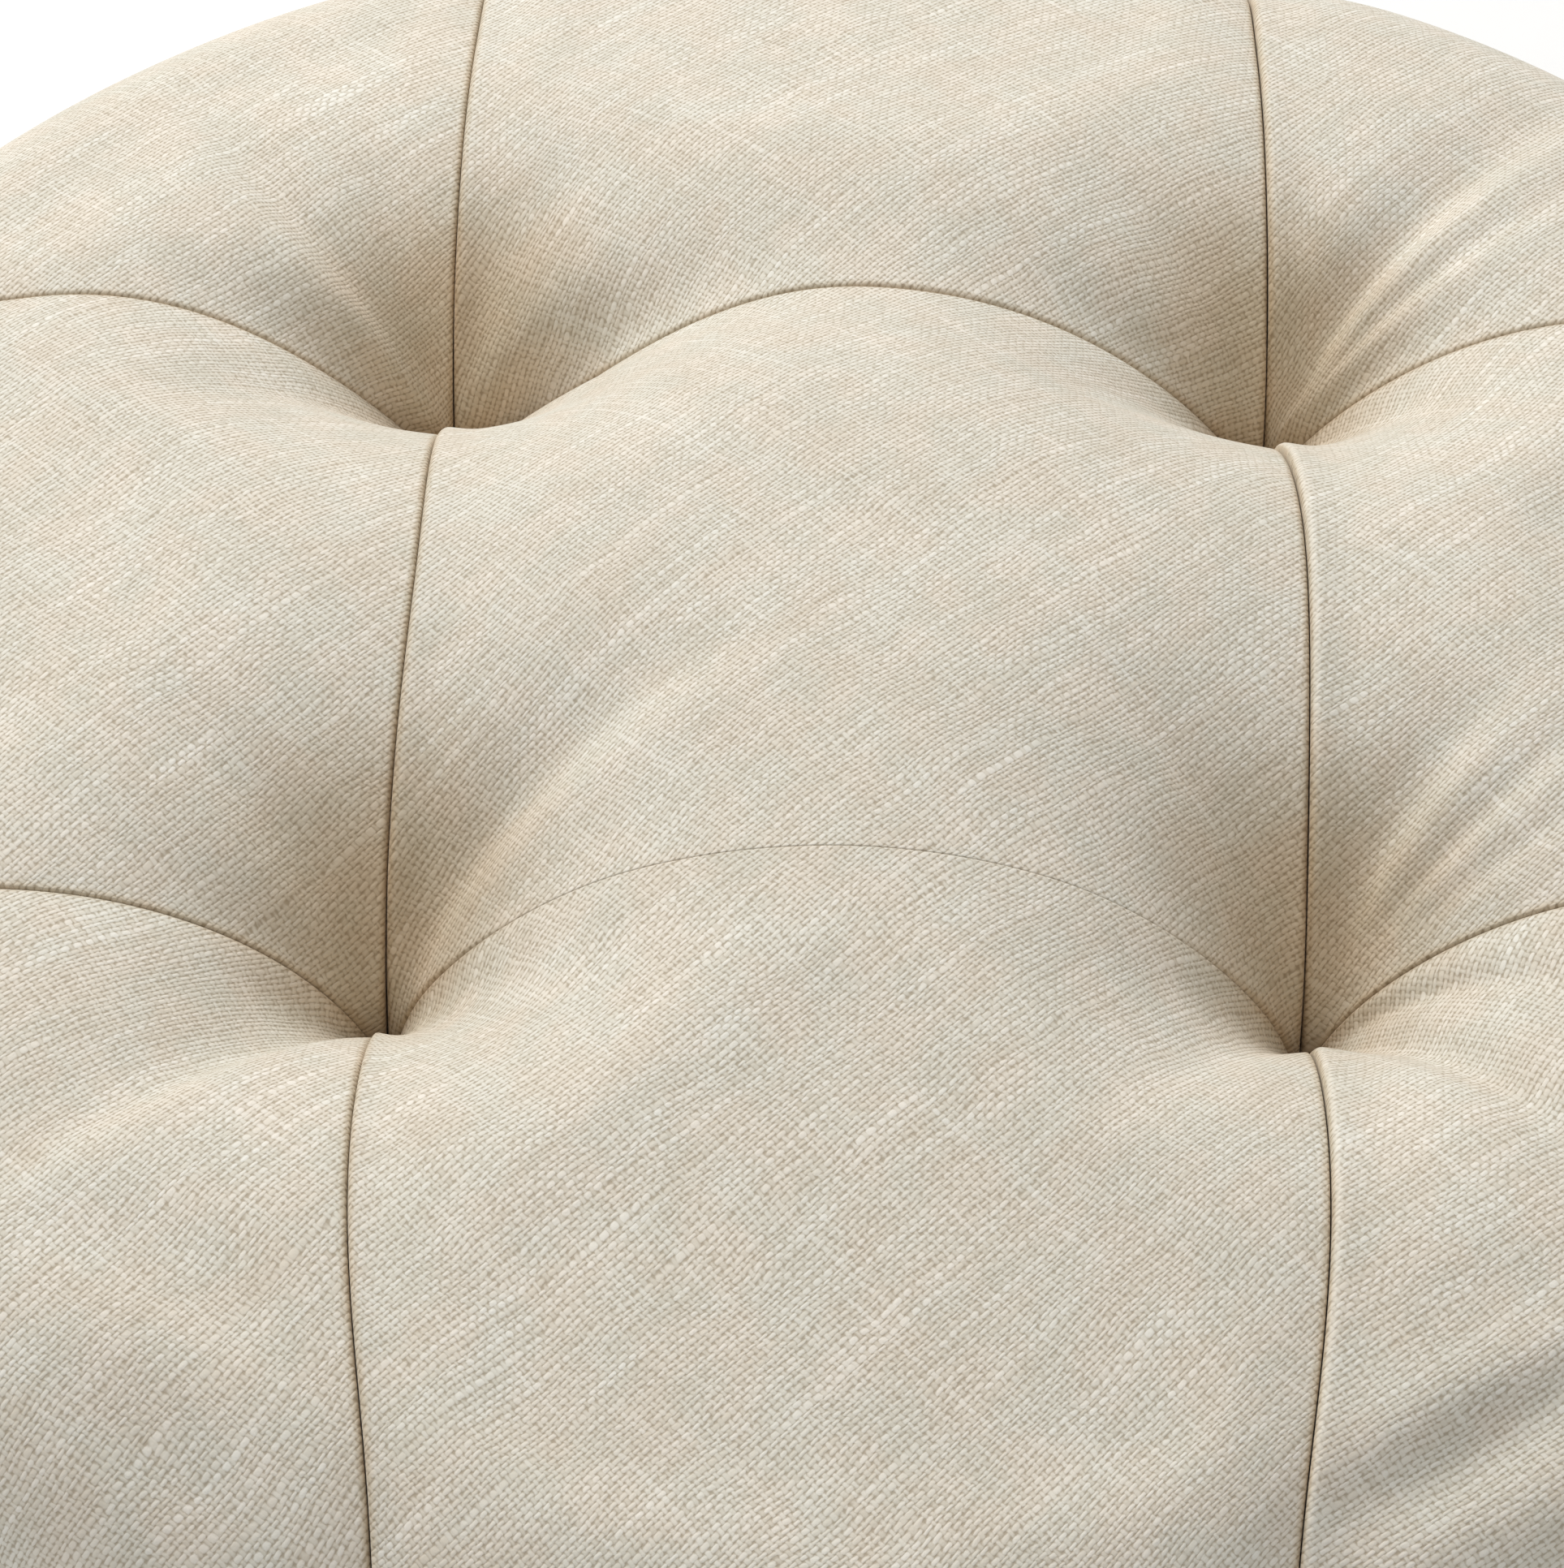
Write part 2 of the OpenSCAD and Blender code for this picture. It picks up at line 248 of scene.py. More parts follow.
def drape(x, y, k):
    """Points of the padded surface over plan places x, y, where k is how far along the section they lie."""
    z = np.interp(k, SECTION_K, SECTION_Z)
    lean = np.interp(k, SECTION_K, LEAN)
    flat_top = np.clip(1.5 - lean / math.radians(60), 0, 1)
    top = lowered(x, y, z)
    z = np.where(k < WIDEST, top, z)
    valley = seam_valley(x, y)
    swell = np.interp(k, SECTION_K, SWELL) * valley
    angle = np.arctan2(y, x)
    swell = swell + gathered(angle, lean, np.hypot(x, y))
    z = z + folded(x, y) * valley ** 0.5 * flat_top + swell * np.cos(lean)
    sideways = swell * np.sin(lean)
    return np.stack([x + sideways * np.cos(angle), y + sideways * np.sin(angle), z], -1)


def outward_line(turns, start, direction):
    """The padded surface's line from a start point, in a plan direction, over the rim to the cut edge."""
    start = np.array(start)
    direction = np.array(direction)
    along = start @ direction
    first = start @ start
    keep = (np.arange(len(SECTION_R)) >= WIDEST) | (SECTION_R ** 2 > first + 1e-9)
    reach = -along + np.sqrt(np.maximum(along ** 2 - first + SECTION_R[keep] ** 2, 0))
    reach = np.concatenate([[0], reach])
    k = np.concatenate([[section_place(math.sqrt(first))], SECTION_K[keep]])
    plan = start + reach[:, None] * direction
    turned = spin(plan, turns)
    return drape(turned[:, 0], turned[:, 1], k)


# -------------------- cut panels

STEP = 3.6 * MM          # cell size of the simulated cloth
SEAM_RUN = 168 * MM      # rough length of a seam between two tufts
RIM_RUN = 275 * MM       # and of the cloth from a seam over the rim to its cut edge
CORNER_LINES = 41        # lines of cloth that fan out in a corner panel
CORNER_START = 0.6 * MM  # how far from the tuft they start
CORNER_CUT = 0.86        # how much narrower a corner panel was cut than the quarter circle that it covers


class Panel:
    """One cut piece of the cover: its cloth grid in place and the same grid as it was cut flat."""

    def __init__(self, name, grid, flat, seams, turns=0):
        self.name = name
        self.grid = grid        # (n, m, 3), in place
        self.flat = laid_flat(grid, spin(flat, turns))     # (n, m, 2), as it lay on the uncut cloth
        self.seams = seams      # which of its sides are seams: "s0", "s1", "t0", "t1"


def laid_flat(grid, flat, rounds=400):
    """Relaxes a rough flat layout of a panel until its threads keep their lengths as nearly as they can."""
    low, high, every = slice(None, -1), slice(1, None), slice(None)
    links = (((high, every), (low, every)), ((every, high), (every, low)),
             ((high, high), (low, low)), ((high, low), (low, high)))
    lengths = [np.linalg.norm(grid[a] - grid[b], axis=-1) for a, b in links]
    flat = flat.copy()
    for _ in range(rounds):
        push = np.zeros_like(flat)
        for (a, b), length in zip(links, lengths):
            gap = flat[a] - flat[b]
            now = np.maximum(np.linalg.norm(gap, axis=-1), 1e-9)
            move = (0.1 * (now - length) / now)[..., None] * gap
            push[a] -= move
            push[b] += move
        flat += push
    return flat


def seam_places(count):
    """Plan places along a seam between two tufts, at even steps of the seam's length."""
    x = np.linspace(-HALF, HALF, 800)
    line = drape(x, np.full(x.shape, HALF), section_place(np.hypot(x, HALF)))
    points, length = by_length(line, count)
    return points[:, 0], length


def centre_panel(count):
    x, length = seam_places(count)
    gx, gy = np.meshgrid(x, x, indexing="ij")
    grid = drape(gx, gy, section_place(np.hypot(gx, gy)))
    u = np.linspace(-0.5, 0.5, count) * length
    flat = np.stack(np.meshgrid(u, u, indexing="ij"), -1)
    return Panel("centre_panel", grid, flat, ("s0", "s1", "t0", "t1"))


def cloth_lines(turns, lines, rows):
    """A panel's grid from (start, direction) pairs, and the length of each of its lines."""
    made = [by_length(outward_line(turns, start, way), rows) for start, way in lines]
    return np.array([points for points, _ in made]), [run for _, run in made]


def edge_panel(name, turns, count, rows):
    """An edge panel, made on the +X side and turned: s runs across it along Y, t outward."""
    across, length = seam_places(count)
    grid, lengths = cloth_lines(turns, [((HALF, y), (1.0, 0.0)) for y in across], rows)
    out = np.outer(lengths, np.linspace(0, 1, rows))
    narrow = length / 2 + (HALF * 1.02 - length / 2) * np.clip(out / (90 * MM), 0, 1) ** 0.8
    wide = np.linspace(-1, 1, count)[:, None] * narrow
    flat = np.stack([out + 0.2, wide], -1)
    return Panel(name, grid, flat, ("s0", "s1", "t0"), turns)


def corner_panel(name, turns, count, rows):
    """A corner panel, made in the +X +Y corner and turned: s fans round the tuft, t runs outward."""
    fan = np.linspace(0, math.pi / 2, count)
    ways = [(math.cos(a), math.sin(a)) for a in fan]
    starts = [(HALF + CORNER_START * dx, HALF + CORNER_START * dy) for dx, dy in ways]
    grid, lengths = cloth_lines(turns, zip(starts, ways), rows)
    out = np.outer(lengths, np.linspace(0, 1, rows)) + CORNER_START
    cut = math.pi / 4 + (fan - math.pi / 4) * CORNER_CUT
    flat = np.stack([out * np.cos(cut)[:, None], out * np.sin(cut)[:, None]], -1) + 0.2
    return Panel(name, grid, flat, ("s0", "s1"), turns)


def cut_panels():
    n = int(round(SEAM_RUN / STEP)) + 1
    rows = int(round(RIM_RUN / STEP)) + 1
    out = [centre_panel(n)]
    for k, side in enumerate(("right", "back", "left", "front")):
        out.append(edge_panel(side + "_panel", k, n, rows))
    for k, corner in enumerate(("back_right", "back_left", "front_left", "front_right")):
        out.append(corner_panel(corner + "_panel", k, CORNER_LINES, rows))
    return out


def placed(name, data):
    """A new object in the scene."""
    ob = bpy.data.objects.new(name, data)
    bpy.context.scene.collection.objects.link(ob)
    return ob


def mesh_object(name, points, faces):
    me = bpy.data.meshes.new(name)
    me.from_pydata(points, [], faces)
    return placed(name, me)


def grid_faces(n, m, first=0):
    i, j = np.meshgrid(np.arange(n - 1), np.arange(m - 1), indexing="ij")
    a = (first + i * m + j).ravel()
    return np.stack([a, a + m, a + m + 1, a + 1], -1)


# -------------------- cloth simulation

CLOTH = {
    "quality": 8, "mass": 0.25, "air_damping": 2.0, "tension_stiffness": 30, "compression_stiffness": 30,
    "shear_stiffness": 12, "bending_stiffness": 4, "tension_damping": 10, "compression_damping": 10,
    "shear_damping": 10, "bending_damping": 1.0, "vertex_group_mass": "seams", "pin_stiffness": 1.0,
    "use_pressure": True, "uniform_pressure_force": 2.0,
}
EASE = 1.006             # how much larger the cover was cut than the padding it goes over
FRAMES = 16
FARTHEST = 1.6 * MM      # no point of the cover moves further than this
HELD_BELOW = 12 * MM     # the cloth is held still below this height


def simulate(panels):
    """Inflates the cut panels, held along their seams and under the board, with Blender's cloth."""
    points = np.concatenate([p.grid.reshape(-1, 3) for p in panels])
    faces, pins, cut, first = [], [], [], 0
    for p in panels:
        n, m = p.grid.shape[:2]
        faces.append(grid_faces(n, m, first))
        pin = np.zeros((n, m), bool)
        pin[0, :] = pin[-1, :] = True
        pin[:, 0] = pin[:, -1] = True
        if len(p.seams) < 4:
            pin |= (p.grid[..., 2] < HELD_BELOW)
        pins.append(pin.ravel())
        cut.append(p.grid.reshape(-1, 3) * EASE)
        first += n * m
    ob = mesh_object("sewn_cover_cloth", points.tolist(), np.concatenate(faces).tolist())
    group = ob.vertex_groups.new(name="seams")
    group.add([int(i) for i in np.flatnonzero(np.concatenate(pins))], 1.0, "REPLACE")
    ob.shape_key_add(name="Basis")
    key = ob.shape_key_add(name="cut")
    key.data.foreach_set("co", np.concatenate(cut).ravel())
    key.value = 0.0
    mod = ob.modifiers.new("cloth", "CLOTH")
    for setting, value in CLOTH.items():
        setattr(mod.settings, setting, value)
    mod.settings.rest_shape_key = key
    mod.settings.effector_weights.gravity = 0.0
    mod.collision_settings.use_collision = False
    mod.collision_settings.use_self_collision = False
    mod.point_cache.frame_start = 1
    mod.point_cache.frame_end = FRAMES
    scene = bpy.context.scene
    scene.frame_start, scene.frame_end = 1, FRAMES
    for f in range(1, FRAMES + 1):
        scene.frame_set(f)
    done = ob.evaluated_get(bpy.context.evaluated_depsgraph_get()).data
    co = np.zeros(len(points) * 3)
    done.vertices.foreach_get("co", co)
    moved = co.reshape(-1, 3) - points
    far = np.linalg.norm(moved, axis=1, keepdims=True)
    co = points + moved * FARTHEST * np.tanh(far / FARTHEST) / np.maximum(far, 1e-9)
    scene.frame_set(1)
    bpy.data.meshes.remove(ob.data)
    first = 0
    for p in panels:
        count = p.grid[..., 0].size
        p.puffed = co[first:first + count].reshape(p.grid.shape)
        first += count


# -------------------- fine meshes

FINE = 1.1 * MM          # cell size of the finished cover
NEAR_SEAM = np.array([0, 0.25, 0.5, 0.8, 1.15, 1.6, 2.2, 3.0, 4.0]) * MM    # its finer rows beside a seam
CURL = 0.9 * MM          # radius of the cover's roll into a seam
PROUD_CURL = 1.5         # times that where the panel stands over its neighbour
ROW_CURL = 0.95          # and on the seams that run across
LIP = 1.2 * MM           # how far the panel on the right of a column seam stands over the one on its left
LIP_WIDTH = 4 * MM
LIP_ENDS = 14 * MM       # the lip fades out over this length beside a tuft
WALLS = (1.0 * MM, 2.6 * MM)    # depths of the rows of the seam allowance
WALL_LOW, WALL_HIGH = 1.5 * MM, 6 * MM    # it grows from a quarter to its full depth between these heights


def spline_weights(count, at):
    """Cubic B-spline weights that read an even row of count points at the parameters at, in 0 to 1."""
    x = np.clip(at, 0, 1) * (count - 1)
    k = np.clip(np.floor(x).astype(int), 0, count - 2)
    f = x - k
    parts = ((1 - f) ** 3 / 6, (3 * f ** 3 - 6 * f ** 2 + 4) / 6,
             (-3 * f ** 3 + 3 * f ** 2 + 3 * f + 1) / 6, f ** 3 / 6)
    w = np.zeros((len(x), count + 2))
    rows = np.arange(len(x))
    for offset, part in enumerate(parts):
        np.add.at(w, (rows, k + offset), part)
    w[:, 1] += 2 * w[:, 0]
    w[:, 2] -= w[:, 0]
    w[:, count] += 2 * w[:, count + 1]
    w[:, count - 1] -= w[:, count + 1]
    return w[:, 1:count + 1]


def spread(length, low_seam, high_seam):
    """Parameters from 0 to 1 along a length, close together beside a seam."""
    low = NEAR_SEAM if low_seam else np.array([0.0])
    high = length - NEAR_SEAM[::-1] if high_seam else np.array([length])
    middle = high[0] - low[-1]
    count = max(int(round(middle / FINE)), 2)
    between = low[-1] + middle * np.arange(1, count) / count
    return np.concatenate([low, between, high]) / length


def resample(grid, s, t):
    ws, wt = spline_weights(grid.shape[0], s), spline_weights(grid.shape[1], t)
    return np.einsum("ai,ijk,bj->abk", ws, grid, wt, optimize=True)


def grid_normals(g):
    ds = np.gradient(g, axis=0)
    dt = np.gradient(g, axis=1)
    n = np.cross(ds, dt)
    return n / np.maximum(np.linalg.norm(n, axis=2, keepdims=True), 1e-12)


def run_from_start(g):
    step = np.linalg.norm(np.diff(g, axis=0), axis=2)
    return np.concatenate([np.zeros((1, g.shape[1])), np.cumsum(step, axis=0)])


def from_side(grid, side):
    """A grid as seen from one of its sides, whose row comes first."""
    turned = grid if side[0] == "s" else np.swapaxes(grid, 0, 1)
    return turned if side[1] == "0" else turned[::-1]


def back_from(grid, side):
    """Undoes from_side."""
    turned = grid if side[1] == "0" else grid[::-1]
    return turned if side[0] == "s" else np.swapaxes(turned, 0, 1)


def seam_plane(p, side):
    """The axis across the seam plane on one side of a panel, the plane's place on it, and the way out."""
    edge = from_side(p.grid, side)[0, :, :2]
    axis = int(np.argmin(edge.max(0) - edge.min(0)))
    middle = p.grid[p.grid.shape[0] // 2, p.grid.shape[1] // 2, axis]
    place = edge[:, axis].mean()
    return axis, place, math.copysign(1.0, place - middle)


def hold_inside(p, g, gap=0.07 * MM):
    """Keeps a panel on its own side of its seam planes, where its neighbour presses back."""
    for side in p.seams:
        axis, place, out = seam_plane(p, side)
        limit = place - out * gap
        g[..., axis] = np.minimum(g[..., axis], limit) if out > 0 else np.maximum(g[..., axis], limit)
    return g


def rolled(p, side, g, up, run):
    """A panel rolled into one seam, as seen from that side, and the way down along the seam's wall."""
    axis, place, out = seam_plane(p, side)
    edge = up[:1].copy()
    edge[..., axis] = 0
    edge /= np.maximum(np.linalg.norm(edge, axis=2, keepdims=True), 1e-9)
    proud = axis == 0 and out < 0
    curl = np.full(run.shape, CURL * (PROUD_CURL if proud else 1.0 if axis == 0 else ROW_CURL))
    if axis == 1 and place < 0:    # the front seam hardly shows between its tufts
        curl = curl * (0.05 + 0.95 * smooth((np.abs(g[..., 0]) / MM - 46) / 18))
    near = np.clip(1 - run / curl, 0, 1)
    roll = curl * (1 - np.sqrt(np.maximum(1 - near ** 2, 0)))
    if proud:
        lip = LIP * np.exp(-(run / LIP_WIDTH) ** 2) * np.clip(0.3 + up[..., 2], 0, 1)
        to_tuft = np.hypot(np.abs(g[..., 0]) - HALF, np.abs(g[..., 1]) - HALF)
        roll = roll - lip * np.clip(to_tuft / LIP_ENDS, 0, 1) ** 2
    return g - edge * roll[..., None], edge


def fine_panel(p):
    """The panel's finished surface: splined from the cloth, rolled into its seams, with seam walls."""
    base = p.grid
    mid_s, mid_t = base.shape[0] // 2, base.shape[1] // 2
    len_s = np.linalg.norm(np.diff(base[:, mid_t], axis=0), axis=1).sum()
    len_t = np.linalg.norm(np.diff(base[mid_s], axis=0), axis=1).sum()
    s = spread(len_s, "s0" in p.seams, "s1" in p.seams)
    t = spread(len_t, "t0" in p.seams, "t1" in p.seams)
    flat = resample(p.flat, s, t)
    up = grid_normals(resample(base, s, t))
    if up[up.shape[0] // 2, up.shape[1] // 3, 2] < 0:
        up = -up
    g = hold_inside(p, resample(p.puffed, s, t))
    runs = {side: run_from_start(from_side(g, side)) for side in p.seams}
    edges = {}
    for side, run in runs.items():
        part, edges[side] = rolled(p, side, from_side(g, side), from_side(up, side), run)
        g = back_from(part, side)
    for side, edge in edges.items():
        part, cloth = from_side(g, side), from_side(flat, side)
        # The walls on the s sides come first, and lengthen the t sides at both ends
        more = (part.shape[1] - edge.shape[1]) // 2
        edge = np.pad(edge, ((0, 0), (more, more), (0, 0)), mode="edge")
        depth = np.interp(part[:1, :, 2:], [WALL_LOW, WALL_HIGH], [0.25, 1.0])
        walls = [part[:1] - edge * depth * w for w in reversed(WALLS)]
        g = back_from(np.concatenate(walls + [part]), side)
        flat = back_from(np.concatenate([cloth[:1]] * len(WALLS) + [cloth]), side)
    return g, flat


def panel_object(p, material):
    """One finished panel, with its cut shape and its drawn plan place as two UV maps."""
    g, flat = fine_panel(p)
    plan = g[..., :2]
    g = drifted(g)
    n, m = g.shape[:2]
    faces = grid_faces(n, m)
    normal = np.cross(g[1:, :-1] - g[:-1, :-1], g[:-1, 1:] - g[:-1, :-1])
    if normal[n // 2, m // 3, 2] < 0:
        faces = faces[:, ::-1]
    ob = mesh_object(p.name + "_cloth", g.reshape(-1, 3).tolist(), faces.tolist())
    me = ob.data
    loops = np.zeros(len(me.loops), np.int32)
    me.loops.foreach_get("vertex_index", loops)
    for layer, places in (("weave", flat), ("drawn", plan)):
        uv = me.uv_layers.new(name=layer)
        uv.data.foreach_set("uv", places.reshape(-1, 2)[loops].ravel())
    me.materials.append(material)
    me.shade_smooth()
    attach(ob, "root")
    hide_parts(p.name)


# -------------------- padding under the cover

CORNERS = [(sx, sy) for sx in (-1, 1) for sy in (-1, 1)]
BOARD_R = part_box("seat_board")[1].x
BOARD_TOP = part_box("seat_board")[1].z
PADDING_TURNS = 240
PADDING_RINGS = 130
BATTING_DEPTH = 2.2 * MM     # below the cover's outer face
BATTING_LOW = 11.0 * MM      # its inner face
FOAM_DEPTH = 12.0 * MM
BATTING_EDGE = 2.6 * MM      # height of its lower edge, round the board
BATTING_HOLE = 7 * MM        # radius of the way through the batting at each tuft
FOAM_HOLE = 12 * MM


def surface_below(depth, seam_depth, low_z):
    """Rings of points under the cover by a depth, from near the middle of the top down to low_z."""
    last = WIDEST + int(np.argmax(SECTION_Z[WIDEST:] < low_z))
    first = section_place(2 * MM)
    path = np.concatenate([[0], np.cumsum(np.hypot(np.diff(SECTION_R), np.diff(SECTION_Z)))])
    way = np.linspace(np.interp(first, SECTION_K, path), path[last], PADDING_RINGS)
    k = np.interp(way, path, SECTION_K)[:, None]
    angle = 2 * math.pi * np.arange(PADDING_TURNS)[None, :] / PADDING_TURNS
    r = np.interp(k, SECTION_K, SECTION_R)
    x, y, k = r * np.cos(angle), r * np.sin(angle), k + 0 * angle
    lean = np.interp(k, SECTION_K, LEAN)
    out = np.stack([np.sin(lean) * np.cos(angle), np.sin(lean) * np.sin(angle), np.cos(lean)], -1)
    down = depth + seam_depth * (1 - seam_valley(x, y, front_hides=0.0))
    return drifted(drape(x, y, k) - down[..., None] * out)


def ring_at(r, z):
    return np.array([[(x, y, z) for x, y in circle(0, 0, r, PADDING_TURNS)]])


def closed_by_rings(name, rings, top, bottom):
    """A closed mesh from rings of points that run from one middle point to the other."""
    count, around = rings.shape[:2]
    points = np.concatenate([rings.reshape(-1, 3), [top, bottom]])
    start = np.arange(around)
    after = (start + 1) % around
    first = np.arange(count - 1)[:, None] * around
    sides = np.stack([first + start, first + around + start, first + around + after, first + after], -1)
    end = (count - 1) * around
    top_fan = np.stack([np.full(around, count * around), start, after], -1)
    bottom_fan = np.stack([np.full(around, count * around + 1), end + after, end + start], -1)
    faces = sides.reshape(-1, 4).tolist() + top_fan.tolist() + bottom_fan.tolist()
    return mesh_object(name, points.tolist(), faces)


def circle(cx, cy, radius, count):
    """Plan points round a circle."""
    turns = [2 * math.pi * i / count for i in range(count)]
    return [(cx + radius * math.cos(a), cy + radius * math.sin(a)) for a in turns]


def cut_tuft_holes(ob, radius, around=32):
    """Cuts an upright round hole through a solid at each tuft."""
    points, faces = [], []
    for sx, sy in CORNERS:
        low = list(range(len(points), len(points) + around))
        for z in (BOARD_TOP - 8 * MM, PAD_H + 20 * MM):
            points += [(x, y, z) for x, y in circle(sx * HALF, sy * HALF, radius, around)]
        faces += [(a, b, b + around, a + around) for a, b in zip(low, low[1:] + low[:1])]
        faces += [low[::-1], [i + around for i in low]]
    drill = mesh_object("drill", points, faces)
    mod = ob.modifiers.new("holes", "BOOLEAN")
    mod.operation = "DIFFERENCE"
    mod.solver = "EXACT"
    mod.object = drill
    done = bpy.data.meshes.new_from_object(ob.evaluated_get(bpy.context.evaluated_depsgraph_get()))
    ob.modifiers.clear()
    old = ob.data
    ob.data = done
    bpy.data.meshes.remove(old)
    bpy.data.meshes.remove(drill.data)
    done.name = ob.name


def finish_padding(ob, node, material):
    ob.data.materials.clear()
    ob.data.materials.append(material)
    ob.data.shade_smooth()
    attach(ob, "root")
    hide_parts(node)


def batting_object(material):
    """Fibre batting over the foam and round the board's edge, as a closed layer under the whole cover."""
    outer = surface_below(BATTING_DEPTH, 4.0 * MM, 4.6 * MM)
    inner = surface_below(BATTING_LOW, 0.0, 4.6 * MM)
    reach = np.hypot(inner[..., 0], inner[..., 1])
    least = BOARD_R + 0.4 * MM
    by_board = (inner[..., 2] < BOARD_TOP + 2.5 * MM) & (reach < least) & (reach > BOARD_R - 20 * MM)
    inner[..., :2] *= np.where(by_board, least / reach, 1.0)[..., None]
    rings = np.concatenate([outer, ring_at(BOARD_R + 2.4 * MM, BATTING_EDGE),
                            ring_at(least, BATTING_EDGE), inner[::-1]])
    ob = closed_by_rings("batting", rings, outer[0].mean(0), inner[0].mean(0))
    cut_tuft_holes(ob, BATTING_HOLE)
    finish_padding(ob, "batting_wrap", material)


def foam_object(material):
    """Foam slab on the board, shaped by the pulled-down cover."""
    outer = surface_below(FOAM_DEPTH, 0.0, 9.4 * MM)
    base = BOARD_TOP + 0.05 * MM
    outer[..., 2] = np.maximum(outer[..., 2], base)
    last = np.hypot(outer[-1, :, 0], outer[-1, :, 1]).min()
    rings = np.concatenate([outer, ring_at(min(last, BOARD_R) - 0.5 * MM, base)])
    ob = closed_by_rings("foam", rings, outer[0].mean(0), (0, 0, base))
    cut_tuft_holes(ob, FOAM_HOLE)
    finish_padding(ob, "foam_core", material)


# -------------------- dust cover

DUST_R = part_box("dust_cover")[1].x      # radius of its folded edge
DUST_STAPLES = 28
DUST_STAPLE_R = 165 * MM
INSERT_AT = 100 * MM
INSERT_HOLE = 5.95 * MM
DUST_LOW = 0.10 * MM                    # height of its underside at the rim
DUST_STEP = 3.6 * MM                    # spacing of its points
# Rows of its folded hem: how far out from the fold and how far up, in mm
HEM_ROWS = ((0.15, 0.14), (0.0, 0.32), (-2.0, 0.36), (-6.0, 0.38), (-12.0, 0.38))


def dust_height(x, y):
    """Height of the lower layer: flat at the rim, pinched up at its staples, a little slack inside."""
    r, angle = np.hypot(x, y), np.arctan2(y, x)
    pitch = 2 * math.pi / DUST_STAPLES
    turn = (angle + math.pi / 2) / pitch
    along = (turn - np.round(turn)) * pitch * DUST_STAPLE_R
    across = r - DUST_STAPLE_R
    beyond = np.maximum(np.abs(along) - 4 * MM, 0)
    pinch = 0.34 * MM * np.exp(-(beyond / (3 * MM)) ** 2 - (across / (3 * MM)) ** 2)
    slack = 0.3 * MM * np.clip(1 - r / (148 * MM), 0, 1) ** 0.5
    ripple = 0.04 * MM * np.sin(14 * angle + 2 * np.sin(3 * angle)) * np.clip(r / (150 * MM), 0, 1) ** 3
    return DUST_LOW + 0.04 * MM + pinch + slack + ripple


def dust_cover_object(material):
    """One round sheet, its edge folded in on the board's side, with a hole under each insert."""
    holes = [(sx * INSERT_AT, sy * INSERT_AT) for sx, sy in CORNERS]
    points = circle(0, 0, DUST_R, 240)
    for cx, cy in holes:
        points += circle(cx, cy, INSERT_HOLE, 24)
    for j in range(-60, 61):
        for i in range(-60, 61):
            x, y = (i + 0.5 * (j % 2)) * DUST_STEP, j * DUST_STEP * 0.866
            if math.hypot(x, y) < DUST_R - 2.4 * MM and \
                    all(math.hypot(x - cx, y - cy) > INSERT_HOLE + 1.6 * MM for cx, cy in holes):
                points.append((x, y))
    plan, _, faces, _, _, _ = delaunay_2d_cdt([Vector(p) for p in points], [], [], 0, 1e-7)
    xy = np.array([tuple(p) for p in plan])
    keep = []
    for f in faces:
        middle = xy[list(f)].mean(0)
        if all(math.hypot(middle[0] - cx, middle[1] - cy) > INSERT_HOLE * 0.98 for cx, cy in holes):
            keep.append(tuple(f))
    main = np.column_stack([xy, dust_height(xy[:, 0], xy[:, 1])])
    on_rim = np.flatnonzero(np.hypot(xy[:, 0], xy[:, 1]) > DUST_R - 1e-6)
    by_angle = sorted(on_rim, key=lambda i: math.atan2(xy[i, 1], xy[i, 0]))
    rim = main[by_angle]
    r = np.hypot(rim[:, 0], rim[:, 1])
    layers, rows = [main], [by_angle]
    for k, (out, rise) in enumerate(HEM_ROWS):
        layer = rim.copy()
        layer[:, :2] *= ((r + out * MM) / r)[:, None]
        layer[:, 2] = DUST_LOW + rise * MM + 0.05 * MM
        layers.append(layer)
        rows.append([len(main) + k * len(rim) + i for i in range(len(rim))])
    for low, high in zip(rows, rows[1:]):
        for i in range(len(rim)):
            j = (i + 1) % len(rim)
            keep.append((int(low[i]), int(high[i]), int(high[j]), int(low[j])))
    ob = mesh_object("dust_cover_cloth", np.concatenate(layers).tolist(), keep)
    ob.data.materials.append(material)
    ob.data.shade_smooth()
    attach(ob, "root")
    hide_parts("dust_cover")


# -------------------- materials

WHITE = (1.0, 1.0, 1.0, 1.0)


def rgb(r, g, b):
    """Linear colour from display values 0 to 255."""
    def linear(v):
        v /= 255
        return v / 12.92 if v <= 0.04045 else ((v + 0.055) / 1.055) ** 2.4
    return (linear(r), linear(g), linear(b), 1.0)


